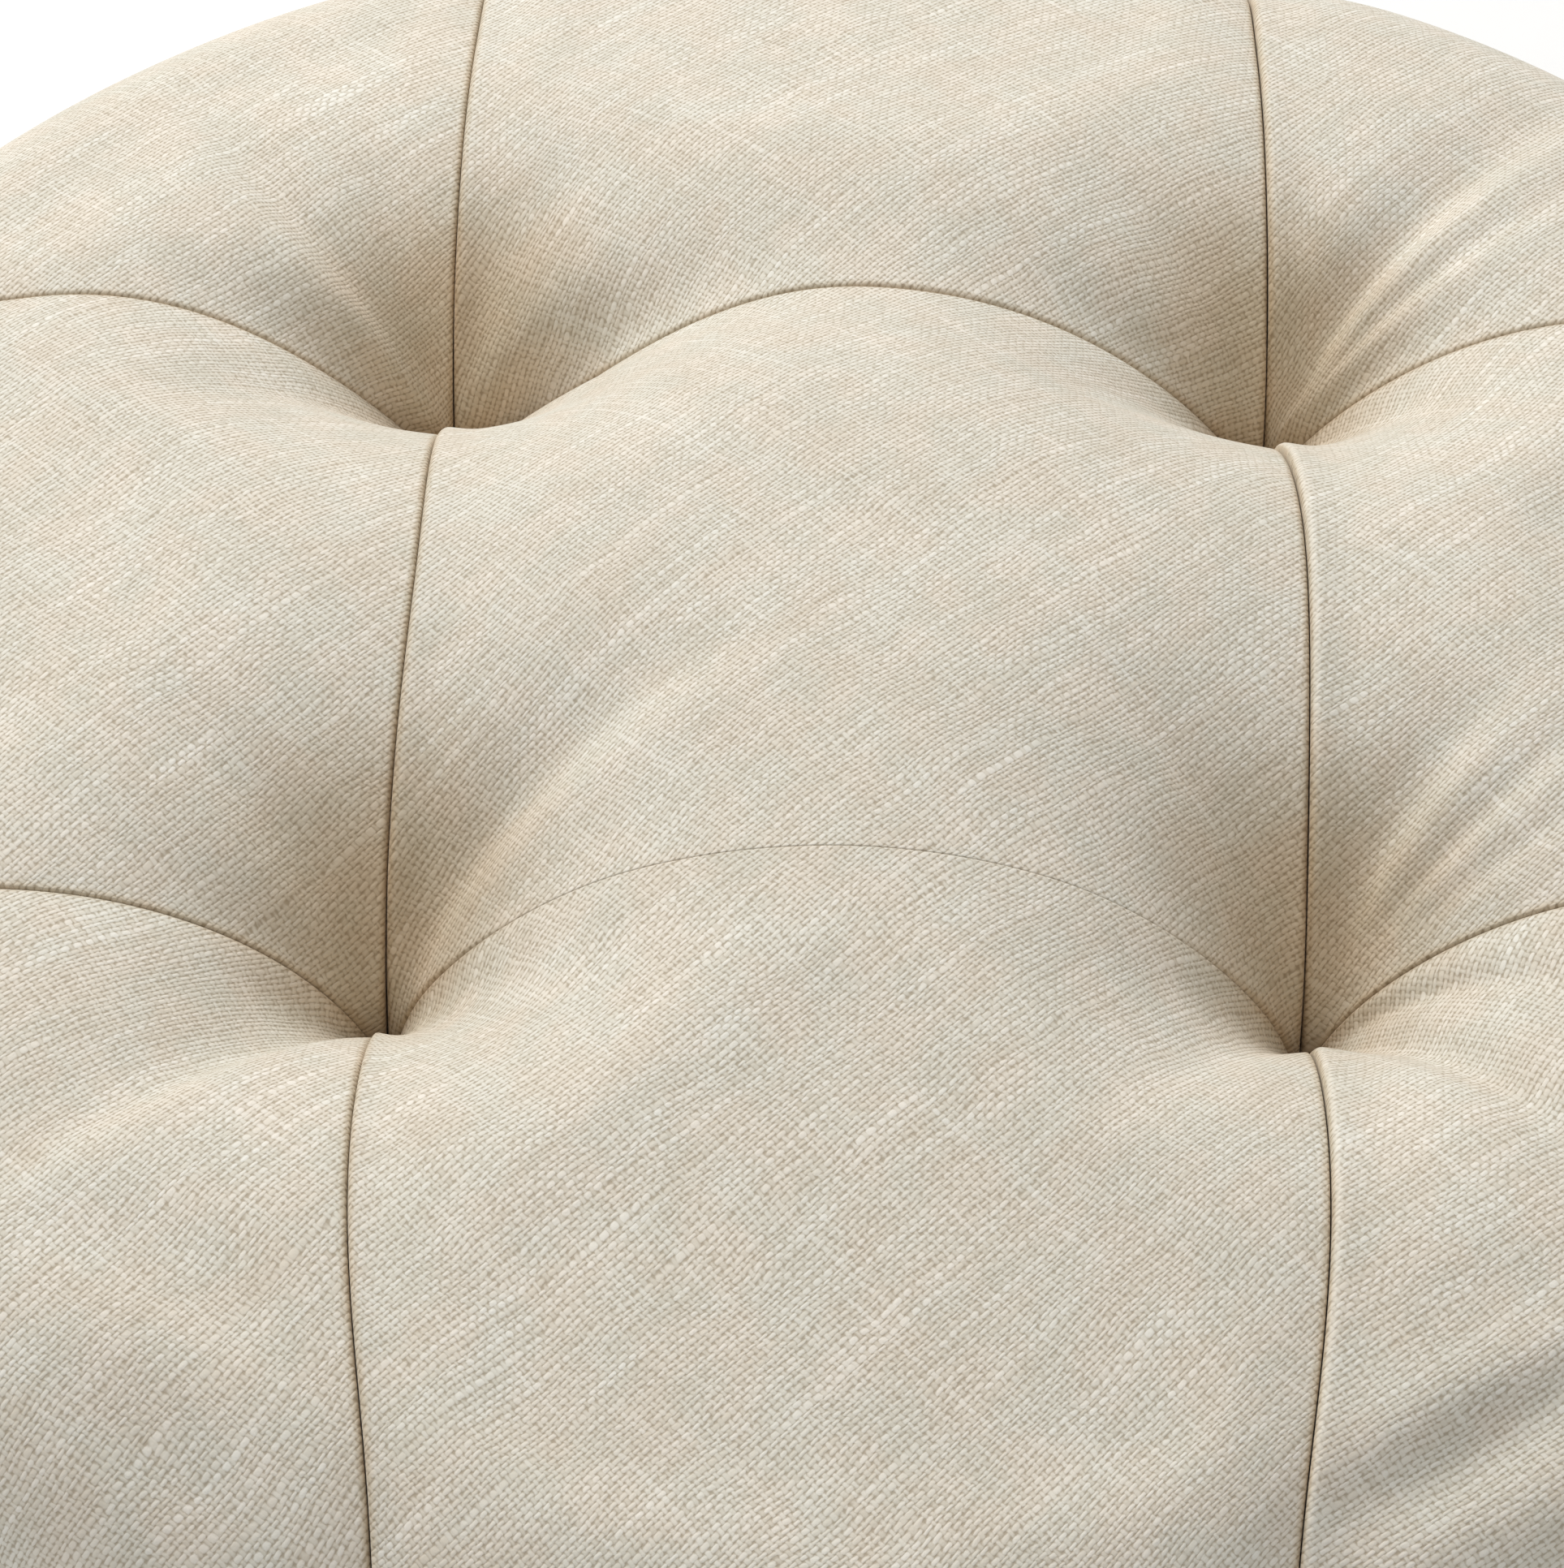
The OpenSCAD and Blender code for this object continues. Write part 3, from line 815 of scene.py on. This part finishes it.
class Nodes:
    """Short calls that add shader nodes to one material."""

    def __init__(self, name):
        self.material = bpy.data.materials.new(name)
        self.material.use_nodes = True
        self.tree = self.material.node_tree
        self.shader = self.tree.nodes["Principled BSDF"]
        self.place = self.add("ShaderNodeTexCoord").outputs["Object"]

    def add(self, kind, **values):
        node = self.tree.nodes.new(kind)
        for key, value in values.items():
            setattr(node, key, value)
        return node

    def put(self, socket, value):
        if isinstance(value, bpy.types.NodeSocket):
            self.tree.links.new(value, socket)
        else:
            socket.default_value = value

    def look(self, **values):
        """Sets inputs of the shader, where an underscore stands for a space."""
        for key, value in values.items():
            self.put(self.shader.inputs[key.replace("_", " ")], value)

    def feed(self, node, *values):
        """Fills a node's inputs in order, and returns its first output."""
        for socket, value in zip(node.inputs, values):
            self.put(socket, value)
        return node.outputs[0]

    def math(self, operation, *values):
        return self.feed(self.add("ShaderNodeMath", operation=operation), *values)

    def times(self, first, *others):
        for other in others:
            first = self.math("MULTIPLY", first, other)
        return first

    def plus(self, first, *others):
        for other in others:
            first = self.math("ADD", first, other)
        return first

    def minus(self, a, b):
        return self.math("SUBTRACT", a, b)

    def noise(self, vector, scale, detail=2.0, rough=0.5):
        node = self.add("ShaderNodeTexNoise")
        for key, value in (("Vector", vector), ("Scale", scale), ("Detail", detail), ("Roughness", rough)):
            self.put(node.inputs[key], value)
        return node.outputs["Fac"]

    def vector(self, x, y, z=0.0):
        return self.feed(self.add("ShaderNodeCombineXYZ"), x, y, z)

    def split(self, vector):
        """The x, y and z of a vector."""
        node = self.add("ShaderNodeSeparateXYZ")
        self.feed(node, vector)
        return tuple(node.outputs)

    def stretched(self, place, rates, detail=2.0, rough=0.5):
        """Noise with its own rate along each axis."""
        scaled = self.vector(*[self.times(*pair) for pair in zip(place, rates)])
        return self.noise(scaled, 1.0, detail, rough)

    def stripes(self, value, pitch):
        """A wave from 0 to 1 along a length, one period per pitch."""
        wave = self.math("SINE", self.times(value, 2 * math.pi / pitch))
        return self.math("MULTIPLY_ADD", wave, 0.5, 0.5)

    def ramp(self, value, low=0.3, high=0.7, to_low=0.0, to_high=1.0, soft=True):
        node = self.add("ShaderNodeMapRange", interpolation_type="SMOOTHSTEP" if soft else "LINEAR")
        return self.feed(node, value, low, high, to_low, to_high)

    def mix(self, factor, a, b, blend="MIX"):
        node = self.add("ShaderNodeMix", data_type="RGBA", blend_type=blend)
        for index, value in ((0, factor), (6, a), (7, b)):
            self.put(node.inputs[index], value)
        return node.outputs[2]

    def tint(self, colour, amount, low, high):
        """Multiplies a colour by one that goes from low to high with the amount."""
        return self.mix(1.0, colour, self.mix(amount, low, high), "MULTIPLY")

    def finish(self, colour, height, strength, distance, rough, over=(0.2, 0.8)):
        """Sets the colour, and the bump and the two ends of the roughness from a height."""
        bump = self.add("ShaderNodeBump")
        for key, value in (("Strength", strength), ("Distance", distance), ("Height", height)):
            self.put(bump.inputs[key], value)
        self.look(Base_Color=colour, Normal=bump.outputs[0], Roughness=self.ramp(height, *over, *rough))
        return self.material


WARP_PITCH = 0.90 * MM   # spacing of the cover's warp threads
WEFT_PITCH = 1.02 * MM   # and of its weft threads
# painted shade, warmer and darker, deep in each tuft
TUFT_SHADE_TINT = (0.73, 0.63, 0.51, 1)
# the seam line, darkened partly by its stitches and partly by painted shade in its groove
SEAM_LINE_SHADE_TINT = (0.84, 0.78, 0.70, 1)


def cover_linen():
    """Plain weave of slubby threads at 45 degrees to the seams, from the cloth's own flat coordinates."""
    n = Nodes("cover_linen")
    u, v, _ = n.split(n.add("ShaderNodeUVMap", uv_map="weave").outputs[0])
    metres = n.vector(u, v)
    sway = n.ramp(n.noise(metres, 30.0, 3.0), 0.3, 0.7, -1.1, 1.1, soft=False)
    along = n.times(n.plus(u, v), math.sqrt(0.5) / WEFT_PITCH)
    across = n.times(n.minus(v, u), math.sqrt(0.5) / WARP_PITCH)

    def crowded(count, other, salt, most):
        """A count of threads that lie closer together in some places than in others."""
        crowd = n.noise(n.vector(count, n.times(other, 0.02), salt), 0.55, 1.0)
        return n.plus(count, sway, n.ramp(crowd, 0.2, 0.8, -most, most, soft=False))

    # a counts threads along the warp, b across it
    a, b = crowded(along, across, 7.0, 0.28), crowded(across, along, 1.0, 0.36)
    ia, ib = n.math("FLOOR", a), n.math("FLOOR", b)
    fa, fb = n.minus(n.minus(a, ia), 0.5), n.minus(n.minus(b, ib), 0.5)
    odd = n.math("FLOORED_MODULO", n.plus(ia, ib), 2.0)
    sign = n.minus(1.0, n.times(odd, 2.0))

    def strand(index, run, salt, slub_from):
        """Tone, thickness and slubs of one strand, each with its own course along its length."""
        def course(own, rate, shift, detail):
            return n.noise(n.vector(n.times(index, own), n.times(run, rate), salt + shift), 1.0, detail)
        slub = course(5.917, 0.02, 9, 1.0)
        knot = course(2.313, 0.33, 5, 2.0)
        thick = n.plus(n.ramp(slub, slub_from, slub_from + 0.1), n.ramp(knot, 0.28, 0.72, -0.4, 0.4))
        return course(3.731, 0.07, 0, 2.0), thick, n.ramp(slub, slub_from, slub_from + 0.08)

    warp_tone, warp_thick, warp_slub = strand(ib, a, 3.1, 0.60)
    weft_tone, weft_thick, weft_slub = strand(ia, b, 40.7, 0.66)

    def crossing(side, run, way, thick, rise):
        """Height of a strand's rounded back, as it goes over and under the other strands."""
        width = n.ramp(thick, -0.4, 1.4, 4.8, 2.2, soft=False)
        wave = n.times(n.math("COSINE", n.times(run, math.pi)), way)
        return n.times(n.minus(1.0, n.times(side, side, width)), n.math("MULTIPLY_ADD", wave, 0.36, rise))

    warp = crossing(fb, fa, sign, warp_thick, 0.70)
    weft = crossing(fa, fb, n.times(sign, -1.0), weft_thick, 0.50)
    over = n.math("GREATER_THAN", warp, weft)
    fibre = n.noise(n.vector(n.times(a, 0.9), n.times(b, 0.9), 17.0), 1.0, 3.0, 0.65)
    fuzz = n.ramp(fibre, 0.25, 0.75, -0.28, 0.28, soft=False)
    height = n.math("MAXIMUM", n.plus(n.math("MAXIMUM", warp, weft), fuzz), 0.0)

    def tinted(tone, slub, dark, light):
        body = n.mix(n.ramp(tone, 0.28, 0.72), dark, light)
        return n.mix(n.times(slub, 0.45), body, rgb(252, 249, 241))

    warp_col = tinted(warp_tone, warp_slub, rgb(229, 222, 207), rgb(243, 238, 227))
    weft_col = tinted(weft_tone, weft_slub, rgb(222, 215, 200), rgb(238, 233, 221))
    cloth = n.mix(n.ramp(height, 0.12, 0.72), rgb(187, 176, 157), n.mix(over, weft_col, warp_col))
    patch = n.ramp(n.noise(metres, 38.0, 4.0, 0.6), 0.32, 0.68)
    warm = n.ramp(n.noise(n.vector(v, u, 2.0), 90.0, 2.0), 0.35, 0.65)
    cloth = n.tint(cloth, patch, (0.955, 0.95, 0.94, 1), WHITE)
    cloth = n.tint(cloth, warm, (0.965, 0.977, 0.975, 1), (1.0, 0.973, 0.955, 1))

    # Painted shade, warmer and darker, deep in the tufts; darker along the seams, partly the stitch line
    # and partly painted shade; and a painted highlight, lighter, on the lip right of each column seam
    _, _, pz = n.split(n.place)
    px, py, _ = n.split(n.add("ShaderNodeUVMap", uv_map="drawn").outputs[0])
    by_column = n.minus(n.math("ABSOLUTE", px), HALF)
    by_row = n.minus(n.math("ABSOLUTE", py), HALF)
    past = n.minus(n.minus(py, n.times(n.math("SIGN", py), HALF)), 10 * MM)
    reach = n.math("SQRT", n.plus(n.times(by_column, by_column), n.times(past, past)))
    on_top = n.ramp(pz, 20 * MM, 34 * MM)
    # painted shade: warmer and darker round each tuft, its centre set 10 mm towards the back of the pad, on
    # the top only
    tuft_shade = n.times(n.ramp(reach, 3 * MM, 33 * MM, 1.0, 0.0), on_top)
    # darker along every seam, partly the stitch line and partly painted shade in the groove; faint in the
    # middle of the front seam
    nearest = n.math("MINIMUM", n.math("ABSOLUTE", by_column), n.math("ABSOLUTE", by_row))
    seam = n.ramp(nearest, 0.2 * MM, 1.5 * MM, 1.0, 0.0)
    front_middle = n.times(n.ramp(n.math("ABSOLUTE", px), 44 * MM, 64 * MM, 1.0, 0.0),
                           n.math("LESS_THAN", py, 0.0))
    seam = n.times(seam, n.minus(1.0, n.times(front_middle, 0.9)))
    cloth = n.tint(cloth, tuft_shade, WHITE, TUFT_SHADE_TINT)
    cloth = n.tint(cloth, seam, WHITE, SEAM_LINE_SHADE_TINT)
    # painted highlight: a faint light band just right of each column seam's line, on the top, away from the
    # tufts and short of the back row
    right_of = n.minus(px, HALF)
    edge = n.times(n.ramp(right_of, 0.25 * MM, 0.6 * MM), n.ramp(right_of, 0.9 * MM, 1.7 * MM, 1.0, 0.0))
    edge = n.times(edge, on_top, n.ramp(py, 60 * MM, 66 * MM, 0.3, 0.0), n.ramp(reach, 12 * MM, 30 * MM))
    cloth = n.mix(edge, cloth, rgb(250, 246, 236))
    n.look(Sheen_Weight=0.12, Sheen_Roughness=0.5, Specular_IOR_Level=0.2)
    return n.finish(cloth, height, 0.54, 0.2 * MM, (0.95, 0.8), over=(0.0, 1.0))


def studio_white():
    n = Nodes("floor_white")
    n.look(Base_Color=n.mix(n.noise(n.place, 40.0, 3.0), (0.93, 0.93, 0.93, 1), (0.96, 0.96, 0.96, 1)),
           Roughness=0.85)
    return n.material


def plywood():
    """Birch plywood: long grain on the faces, thin plies in turn on the edge."""
    n = Nodes("plywood")
    x, y, z = n.split(n.place)
    waver = n.times(n.noise(n.place, 9.0, 2.0), 0.05)
    grain = n.stretched((x, n.plus(y, waver), z), (9.0, 160.0, 160.0), 4.0, 0.6)
    pore = n.stretched((x, y, z), (60.0, 1500.0, 1.0))
    face = n.mix(n.ramp(grain), rgb(196, 160, 112), rgb(224, 194, 148))
    face = n.tint(face, n.ramp(pore, 0.3, 0.55), (0.86, 0.82, 0.78, 1), WHITE)
    ply = n.math("GREATER_THAN", n.stripes(z, 2.7 * MM), 0.5)
    edge = n.mix(ply, rgb(168, 126, 82), rgb(212, 180, 132))
    edge = n.tint(edge, n.noise(n.place, 1600.0), (0.8, 0.78, 0.75, 1), WHITE)
    _, _, upright = n.split(n.add("ShaderNodeNewGeometry").outputs["True Normal"])
    flat = n.math("GREATER_THAN", n.math("ABSOLUTE", upright), 0.5)
    return n.finish(n.mix(flat, edge, face), grain, 0.3, 0.1 * MM, (0.55, 0.75))


def zinc_steel():
    """Bright zinc plate, with faint patches of passivation and fine drawing lines."""
    n = Nodes("zinc_steel")
    patch = n.noise(n.place, 260.0, 3.0)
    fine = n.stretched(n.split(n.place), (900.0, 900.0, 5200.0))
    colour = n.mix(n.ramp(patch, 0.35, 0.65), rgb(186, 190, 196), rgb(206, 203, 192))
    n.look(Metallic=1.0)
    height = n.math("MULTIPLY_ADD", fine, 0.6, n.times(patch, 0.4))
    return n.finish(colour, height, 0.15, 0.05 * MM, (0.24, 0.42))


def webbing():
    """Woven cotton tape."""
    n = Nodes("webbing")
    x, _, z = n.split(n.place)
    warp, weft = n.stripes(x, 1.1 * MM), n.stripes(z, 0.9 * MM)
    height = n.math("MULTIPLY_ADD", warp, 0.6, n.times(weft, 0.4))
    cloth = n.mix(n.ramp(height, 0.2, 0.8), rgb(172, 160, 136), rgb(226, 218, 198))
    cloth = n.tint(cloth, n.noise(n.place, 2600.0, 3.0), (0.88, 0.87, 0.85, 1), WHITE)
    return n.finish(cloth, height, 0.6, 0.2 * MM, (0.95, 0.8))


def waxed_twine():
    """Two-ply twisted twine with a little wax shine."""
    n = Nodes("waxed_twine")
    x, y, z = n.split(n.place)
    twist = n.stripes(n.plus(z, n.times(n.plus(x, y), 0.7)), 1.7 * MM)
    strand = n.mix(n.ramp(twist, 0.1, 0.7), rgb(160, 146, 116), rgb(226, 216, 188))
    strand = n.tint(strand, n.noise(n.place, 3200.0, 3.0), (0.86, 0.85, 0.82, 1), WHITE)
    return n.finish(strand, twist, 0.7, 0.2 * MM, (0.6, 0.42))


def tie_off_plastic():
    """Moulded plastic with a fine matte texture."""
    n = Nodes("tie_off_plastic")
    colour = n.mix(n.ramp(n.noise(n.place, 120.0)), rgb(214, 211, 201), rgb(224, 221, 212))
    return n.finish(colour, n.noise(n.place, 2400.0, 3.0, 0.6), 0.2, 0.04 * MM, (0.42, 0.56))


def seat_foam():
    """Open-cell foam: cream, with small pores."""
    n = Nodes("seat_foam")
    cells = n.add("ShaderNodeTexVoronoi")
    n.put(cells.inputs["Vector"], n.place)
    n.put(cells.inputs["Scale"], 900.0)
    pore = cells.outputs["Distance"]
    skin = n.mix(n.ramp(n.noise(n.place, 25.0, 3.0)), rgb(232, 220, 176), rgb(240, 230, 192))
    colour = n.mix(n.ramp(pore, 0.1, 0.5), rgb(176, 160, 112), skin)
    return n.finish(colour, pore, 0.7, 0.4 * MM, (0.95, 0.85))


def polyester_batting():
    """Lofty white fibre in soft tangled strands."""
    n = Nodes("polyester_batting")
    x, y, z = n.split(n.place)
    cloud = n.noise(n.place, 30.0, 4.0, 0.6)
    bent = n.plus(x, n.times(cloud, 0.02))
    hair = n.stretched((bent, y, z), (120.0, 1700.0, 900.0), 4.0, 0.7)
    colour = n.mix(n.ramp(hair), rgb(216, 215, 210), rgb(246, 245, 241))
    n.look(Sheen_Weight=0.3)
    height = n.math("MULTIPLY_ADD", hair, 0.5, n.times(cloud, 0.5))
    return n.finish(colour, height, 0.8, 0.8 * MM, (0.95, 0.9))


def dust_cloth():
    """Black spun-bonded cloth: tangled fibres with a grid of small pressed points."""
    n = Nodes("dust_cloth")
    x, y, _ = n.split(n.place)
    dots = n.times(n.stripes(n.plus(x, y), 1.4 * MM), n.stripes(n.minus(x, y), 1.4 * MM))
    pressed = n.ramp(dots, 0.55, 0.8)
    fibre = n.noise(n.place, 2200.0, 4.0, 0.7)
    body = n.mix(n.ramp(fibre), rgb(30, 30, 32), rgb(58, 58, 60))
    body = n.tint(body, n.ramp(n.noise(n.place, 45.0, 3.0)), (0.8, 0.8, 0.8, 1), (1.1, 1.1, 1.1, 1))
    height = n.minus(fibre, n.times(pressed, 0.5))
    return n.finish(n.mix(pressed, body, rgb(24, 24, 26)), height, 0.5, 0.1 * MM, (0.7, 0.9))


SLOTS = (("panel", "cover_linen"), ("tab", "webbing"), ("twine", "waxed_twine"),
         ("button", "tie_off_plastic"), ("board", "plywood"), ("batting", "polyester_batting"),
         ("foam", "seat_foam"), ("staples", "zinc_steel"), ("inserts", "zinc_steel"))


def node_slot(name):
    """The material slot of a CAD node."""
    for part, slot in SLOTS:
        if part in name:
            return slot
    return "dust_cloth"


# -------------------- studio

FLOOR_HALF = 6.0         # metres
SKY = 0.508              # strength of the even light from all round
KEY_AT = (-0.75, 1.15, 1.5)
KEY_TO = (0, 0, 0.05)


def studio():
    f = FLOOR_HALF
    floor = mesh_object("studio_floor", [(-f, -f, 0), (f, -f, 0), (f, f, 0), (-f, f, 0)], [(0, 1, 2, 3)])
    floor.data.materials.append(studio_white())

    scene = bpy.context.scene
    scene.world = bpy.data.worlds.new("studio")
    scene.world.use_nodes = True
    sky = scene.world.node_tree.nodes["Background"]
    sky.inputs[0].default_value = WHITE
    sky.inputs[1].default_value = SKY

    key = bpy.data.lights.new("key", "AREA")
    key.shape = "SQUARE"
    key.size = 1.0
    key.energy = 29.5
    key.color = (1.0, 0.99, 0.97)
    lamp = placed("key", key)
    lamp.location = KEY_AT
    away = np.array(KEY_AT) - np.array(KEY_TO)
    lamp.rotation_euler = (math.atan2(math.hypot(away[0], away[1]), away[2]), 0,
                           math.atan2(away[0], -away[1]))

    lens = bpy.data.cameras.new("camera")
    lens.lens = 114.86
    lens.sensor_width = 36
    camera = placed("camera", lens)
    camera.location = (4.66 * MM, -564.8 * MM, 587.4 * MM)
    camera.rotation_euler = (math.radians(90 - 44.64), 0, math.radians(1.564))
    scene.camera = camera
    scene.view_settings.view_transform = "Standard"


# -------------------- the pad

panels = cut_panels()
simulate(panels)
makers = (cover_linen, polyester_batting, seat_foam, plywood, zinc_steel, webbing, waxed_twine,
          tie_off_plastic, dust_cloth)
materials = {make.__name__: make() for make in makers}
for p in panels:
    panel_object(p, materials["cover_linen"])
batting_object(materials["polyester_batting"])
foam_object(materials["seat_foam"])
dust_cover_object(materials["dust_cloth"])

for name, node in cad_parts.items():
    node.data.materials.clear()
    node.data.materials.append(materials[node_slot(name)])
studio()
